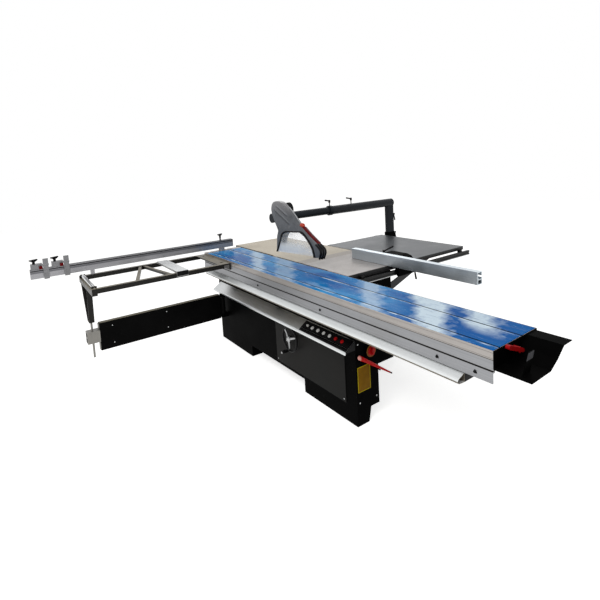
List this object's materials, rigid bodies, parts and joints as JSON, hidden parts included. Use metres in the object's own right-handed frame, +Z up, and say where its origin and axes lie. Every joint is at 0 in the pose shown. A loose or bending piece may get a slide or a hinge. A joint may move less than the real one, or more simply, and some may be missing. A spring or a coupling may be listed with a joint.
{
  "type": "sliding table saw",
  "caption": "Sliding table saw: long crosscut table on a roller trolley, outrigger on a swing arm, tilting saw unit, rip fence and overhead blade guard.",
  "frame": {"origin": "on the floor, at the centre of the four anchor holes in the base's feet", "axes": "+X to the operator's right, from the sliding table to the rip side; +Y along the feed, away from the operator; +Z up"},
  "size_m": [3.5319, 3.47, 1.424],
  "materials": {
    "black_paint": "fine textured powder coat",
    "grey_paint": "satin powder coat",
    "aluminium": "drawn and clear anodised",
    "cast_iron": "ground",
    "dark_cast": "as cast, painted",
    "steel": "brushed",
    "tool_steel": "ground",
    "chrome": "polished",
    "black_plastic": "moulded",
    "white_plastic": "moulded",
    "red_plastic": "moulded",
    "guard_plastic": "moulded",
    "clear_plastic": "clear",
    "rubber": "moulded",
    "motor_paint": "satin"
  },
  "bodies": {
    "base": {"machine_base": "black_paint", "base_feet": "black_paint", "front_panel": "grey_paint", "console_strip": "aluminium", "control_panel": "black_plastic", "base_beam": "aluminium", "main_table": "cast_iron", "rear_table": "steel", "extension_table": "steel", "fence_rail": "tool_steel", "trunnion_arcs": "dark_cast", "arm_support": "black_paint"},
    "trolley": {"roller_trolley": "steel"},
    "table": {"sliding_table": "aluminium", "end_tray": "black_paint", "outrigger_frame": "black_paint"},
    "cross_fence": {"crosscut_fence": "aluminium"},
    "cross_fence_extension": {"fence_extension": "aluminium"},
    "saw_unit": {"saw_cradle": "dark_cast"},
    "arbor_unit": {"arbor_housing": "dark_cast", "saw_motor": "motor_paint", "drive_belt": "rubber"},
    "overhead_post": {"upper_post": "black_paint"},
    "overhead_boom": {"boom_tube": "black_paint"},
    "guard": {"guard_hood": "guard_plastic", "guard_window": "clear_plastic"},
    "white_button_1": {"white_button_1": "white_plastic"},
    "white_button_2": {"white_button_2": "white_plastic"},
    "white_button_3": {"white_button_3": "white_plastic"},
    "white_button_4": {"white_button_4": "white_plastic"},
    "red_button_1": {"red_button_1": "red_plastic"},
    "red_button_2": {"red_button_2": "red_plastic"},
    "selector_switch": {"selector_switch": "white_plastic"},
    "isolator_knob": {"isolator_knob": "red_plastic"},
    "push_stick": {"push_stick": "red_plastic"},
    "handwheel": {"handwheel": "black_paint"},
    "wheel_handle": {"wheel_handle": "black_plastic"},
    "table_lock": {"table_lock": "red_plastic"},
    "outrigger_roller": {"outrigger_roller": "chrome"},
    "cross_profile": {"cross_profile": "aluminium"},
    "swing_arm": {"swing_arm": "black_paint"},
    "arm_extension": {"arm_extension": "aluminium"},
    "stop_carriage_1": {"stop_carriage_1": "aluminium"},
    "stop_carriage_2": {"stop_carriage_2": "aluminium"},
    "stop_flag_1": {"stop_flag_1": "aluminium"},
    "stop_flag_2": {"stop_flag_2": "aluminium"},
    "stop_knob_1": {"stop_knob_1": "black_plastic"},
    "stop_knob_2": {"stop_knob_2": "black_plastic"},
    "fence_knob": {"fence_knob": "black_plastic"},
    "fence_carriage": {"fence_carriage": "black_paint"},
    "rip_fence": {"rip_fence": "aluminium"},
    "fence_clamp_lever": {"fence_clamp_lever": "black_plastic"},
    "rail_lever": {"rail_lever": "black_plastic"},
    "saw_arbor": {"saw_arbor": "tool_steel"},
    "scoring_arbor": {"scoring_arbor": "tool_steel"},
    "motor_pulley": {"motor_pulley": "tool_steel"},
    "boom_lever_1": {"boom_lever_1": "black_plastic"},
    "boom_lever_2": {"boom_lever_2": "black_plastic"},
    "post_lever_1": {"post_lever_1": "black_plastic"},
    "post_lever_2": {"post_lever_2": "black_plastic"}
  },
  "joints": [
    {"name": "white_button_1_press", "type": "slide", "parent": "base", "child": "white_button_1", "axis": [0.5592, 0, -0.829], "range_m": [0, 0.004], "stiffness_N_per_m": 400, "springref_m": -0.001},
    {"name": "white_button_2_press", "type": "slide", "parent": "base", "child": "white_button_2", "axis": [0.5592, 0, -0.829], "range_m": [0, 0.004], "stiffness_N_per_m": 400, "springref_m": -0.001},
    {"name": "white_button_3_press", "type": "slide", "parent": "base", "child": "white_button_3", "axis": [0.5592, 0, -0.829], "range_m": [0, 0.004], "stiffness_N_per_m": 400, "springref_m": -0.001},
    {"name": "white_button_4_press", "type": "slide", "parent": "base", "child": "white_button_4", "axis": [0.5592, 0, -0.829], "range_m": [0, 0.004], "stiffness_N_per_m": 400, "springref_m": -0.001},
    {"name": "red_button_1_press", "type": "slide", "parent": "base", "child": "red_button_1", "axis": [0.5592, 0, -0.829], "range_m": [0, 0.004], "stiffness_N_per_m": 400, "springref_m": -0.001},
    {"name": "red_button_2_press", "type": "slide", "parent": "base", "child": "red_button_2", "axis": [0.5592, 0, -0.829], "range_m": [0, 0.004], "stiffness_N_per_m": 400, "springref_m": -0.001},
    {"name": "selector_turn", "type": "hinge", "parent": "base", "child": "selector_switch", "pos_m": [-0.29882, -0.584, 0.57051], "axis": [-0.5592, 0, 0.829], "range_deg": [-45, 45]},
    {"name": "isolator_turn", "type": "hinge", "parent": "base", "child": "isolator_knob", "pos_m": [-0.14, -1.052, 0.495], "axis": [0, 1, 0], "range_deg": [0, 90]},
    {"name": "push_stick_lift_off", "type": "slide", "parent": "base", "child": "push_stick", "axis": [0, -1, 0], "range_m": [0, 0.04]},
    {"name": "tilt_wheel_turn", "type": "hinge", "parent": "base", "child": "handwheel", "pos_m": [-0.304, -0.328, 0.4], "axis": [1, 0, 0], "range_deg": [0, 3600]},
    {"name": "wheel_handle_turn", "type": "hinge", "parent": "handwheel", "child": "wheel_handle", "pos_m": [-0.35, -0.31133, 0.30546], "axis": [1, 0, 0], "continuous": true},
    {"name": "trolley_roll", "type": "slide", "parent": "base", "child": "trolley", "axis": [0, 1, 0], "range_m": [-0.8, 0.8]},
    {"name": "table_slide", "type": "slide", "parent": "base", "child": "table", "axis": [0, 1, 0], "range_m": [-1.6, 1.6]},
    {"name": "table_lock_turn", "type": "hinge", "parent": "table", "child": "table_lock", "pos_m": [-0.215, -2.115, 0.868], "axis": [0, 1, 0], "range_deg": [-20, 45]},
    {"name": "roller_turn", "type": "hinge", "parent": "table", "child": "outrigger_roller", "pos_m": [-1.476, 0.8, 0.886], "axis": [0, 1, 0], "continuous": true},
    {"name": "cross_profile_slide", "type": "slide", "parent": "table", "child": "cross_profile", "axis": [1, 0, 0], "range_m": [-0.28, 0.25]},
    {"name": "arm_swing", "type": "hinge", "parent": "base", "child": "swing_arm", "pos_m": [-0.305, 0.905, 0.381], "axis": [0, 0, 1], "range_deg": [-53, 53]},
    {"name": "arm_extend", "type": "slide", "parent": "swing_arm", "child": "arm_extension", "axis": [-1, 0, 0], "range_m": [0, 0.8]},
    {"name": "fence_swivel", "type": "hinge", "parent": "table", "child": "cross_fence", "pos_m": [-0.2, 1.073, 0.925], "axis": [0, 0, 1], "range_deg": [0, 45]},
    {"name": "fence_extend", "type": "slide", "parent": "cross_fence", "child": "cross_fence_extension", "axis": [-1, 0, 0], "range_m": [0, 0.5]},
    {"name": "stop_1_slide", "type": "slide", "parent": "cross_fence_extension", "child": "stop_carriage_1", "axis": [1, 0, 0], "range_m": [-0.003, 0.018]},
    {"name": "stop_2_slide", "type": "slide", "parent": "cross_fence_extension", "child": "stop_carriage_2", "axis": [1, 0, 0], "range_m": [-0.018, 1.3]},
    {"name": "flag_1_flip", "type": "hinge", "parent": "stop_carriage_1", "child": "stop_flag_1", "pos_m": [-1.731, 1.055, 1.034], "axis": [-1, 0, 0], "range_deg": [0, 95]},
    {"name": "stop_knob_1_turn", "type": "hinge", "parent": "stop_carriage_1", "child": "stop_knob_1", "pos_m": [-1.81, 1.0925, 1.044], "axis": [0, 0, 1], "continuous": true},
    {"name": "flag_2_flip", "type": "hinge", "parent": "stop_carriage_2", "child": "stop_flag_2", "pos_m": [-1.585, 1.055, 1.034], "axis": [-1, 0, 0], "range_deg": [0, 95]},
    {"name": "stop_knob_2_turn", "type": "hinge", "parent": "stop_carriage_2", "child": "stop_knob_2", "pos_m": [-1.664, 1.0925, 1.044], "axis": [0, 0, 1], "continuous": true},
    {"name": "fence_knob_turn", "type": "hinge", "parent": "cross_fence", "child": "fence_knob", "pos_m": [-0.2, 1.0925, 1.03], "axis": [0, 0, 1], "continuous": true},
    {"name": "fence_carriage_slide", "type": "slide", "parent": "base", "child": "fence_carriage", "axis": [1, 0, 0], "range_m": [-0.35, 0.8]},
    {"name": "rip_fence_slide", "type": "slide", "parent": "fence_carriage", "child": "rip_fence", "axis": [0, 1, 0], "range_m": [-0.2, 0.5]},
    {"name": "fence_clamp_turn", "type": "hinge", "parent": "fence_carriage", "child": "fence_clamp_lever", "pos_m": [0.518, -0.56, 0.97], "axis": [0, 0, 1], "range_deg": [-60, 60]},
    {"name": "rail_lever_turn", "type": "hinge", "parent": "fence_carriage", "child": "rail_lever", "pos_m": [0.67, -0.746, 0.83], "axis": [-1, 0, 0], "range_deg": [0, 75]},
    {"name": "saw_tilt", "type": "hinge", "parent": "base", "child": "saw_unit", "pos_m": [0.01, 0, 0.9], "axis": [0, 1, 0], "range_deg": [0, 45]},
    {"name": "arbor_lift", "type": "slide", "parent": "saw_unit", "child": "arbor_unit", "axis": [0, 0, 1], "range_m": [0, 0.085]},
    {"name": "saw_arbor_spin", "type": "hinge", "parent": "arbor_unit", "child": "saw_arbor", "pos_m": [0.01, 0, 0.742], "axis": [1, 0, 0], "continuous": true},
    {"name": "motor_pulley_spin", "type": "hinge", "parent": "arbor_unit", "child": "motor_pulley", "pos_m": [0.065, 0.132, 0.6], "axis": [1, 0, 0], "continuous": true},
    {"name": "scoring_arbor_spin", "type": "hinge", "parent": "saw_unit", "child": "scoring_arbor", "pos_m": [0.01, -0.216, 0.83], "axis": [1, 0, 0], "continuous": true},
    {"name": "guard_height", "type": "slide", "parent": "base", "child": "overhead_post", "axis": [0, 0, 1], "range_m": [-0.04, 0.1]},
    {"name": "boom_extend", "type": "slide", "parent": "overhead_post", "child": "overhead_boom", "axis": [1, 0, 0], "range_m": [-0.1, 0.25]},
    {"name": "guard_tilt", "type": "hinge", "parent": "overhead_boom", "child": "guard", "pos_m": [0.055, 0.405, 1.252], "axis": [-1, 0, 0], "range_deg": [0, 40]},
    {"name": "boom_lever_1_turn", "type": "hinge", "parent": "overhead_post", "child": "boom_lever_1", "pos_m": [0.72, 0.405, 1.32], "axis": [0, 0, 1], "continuous": true},
    {"name": "boom_lever_2_turn", "type": "hinge", "parent": "overhead_post", "child": "boom_lever_2", "pos_m": [1.013, 0.405, 1.32], "axis": [0, 0, 1], "continuous": true},
    {"name": "post_lever_1_turn", "type": "hinge", "parent": "overhead_post", "child": "post_lever_1", "pos_m": [1.647, 0.405, 1.112], "axis": [1, 0, 0], "continuous": true},
    {"name": "post_lever_2_turn", "type": "hinge", "parent": "base", "child": "post_lever_2", "pos_m": [1.655, 0.405, 0.897], "axis": [1, 0, 0], "continuous": true}
  ],
  "couplings": [
    {"joint": "trolley_roll", "follows": "table_slide", "ratio": 0.5},
    {"joint": "tilt_wheel_turn", "follows": "saw_tilt", "ratio": 80},
    {"joint": "motor_pulley_spin", "follows": "saw_arbor_spin", "ratio": 0.73913}
  ]
}
